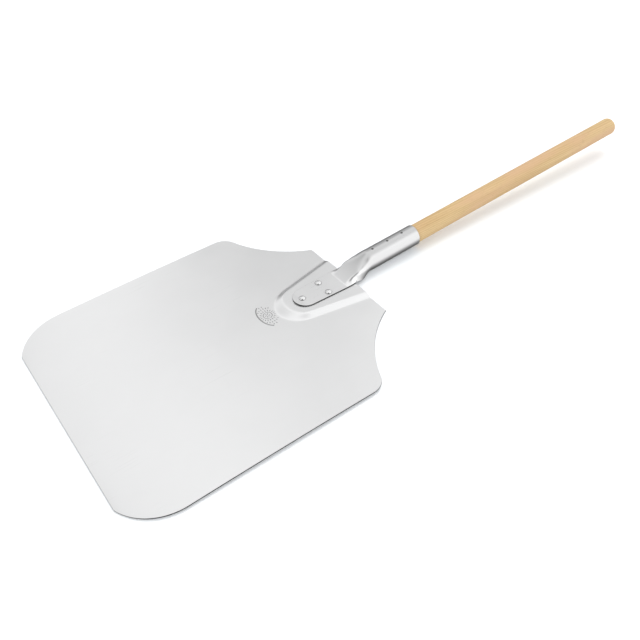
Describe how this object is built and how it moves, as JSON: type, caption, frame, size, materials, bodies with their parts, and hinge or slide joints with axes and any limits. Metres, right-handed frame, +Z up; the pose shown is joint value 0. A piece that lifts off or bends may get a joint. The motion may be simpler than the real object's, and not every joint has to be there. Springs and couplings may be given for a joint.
{
  "type": "pizza peel",
  "caption": "Flat rectangular aluminium blade with rounded corners and a hollow-sided neck, riveted to a rolled socket that holds a long round wooden handle.",
  "frame": {"origin": "on the plane that the blade lies on, below the middle of the blade", "axes": "+Y from the blade towards the free end of the handle, +Z up out of the blade's top face, +X to the right when looking along +Y from above"},
  "size_m": [0.3556, 0.9141, 0.047],
  "materials": {
    "blade_sheet": "rolled sheet, soft satin, fine hairlines",
    "socket_sheet": "formed sheet, satin with brighter folds",
    "rivet": "pressed, semi-bright",
    "nail": "dull bright wire",
    "handle_wood": "sanded, clear matt lacquer, straight fine grain"
  },
  "bodies": {
    "root": {"blade": "blade_sheet", "socket": "socket_sheet", "handle": "handle_wood", "blade_rivet_front": "rivet", "blade_rivet_left": "rivet", "blade_rivet_right": "rivet", "handle_nail_front": "nail", "handle_nail_middle": "nail", "handle_nail_rear": "nail"}
  },
  "joints": []
}
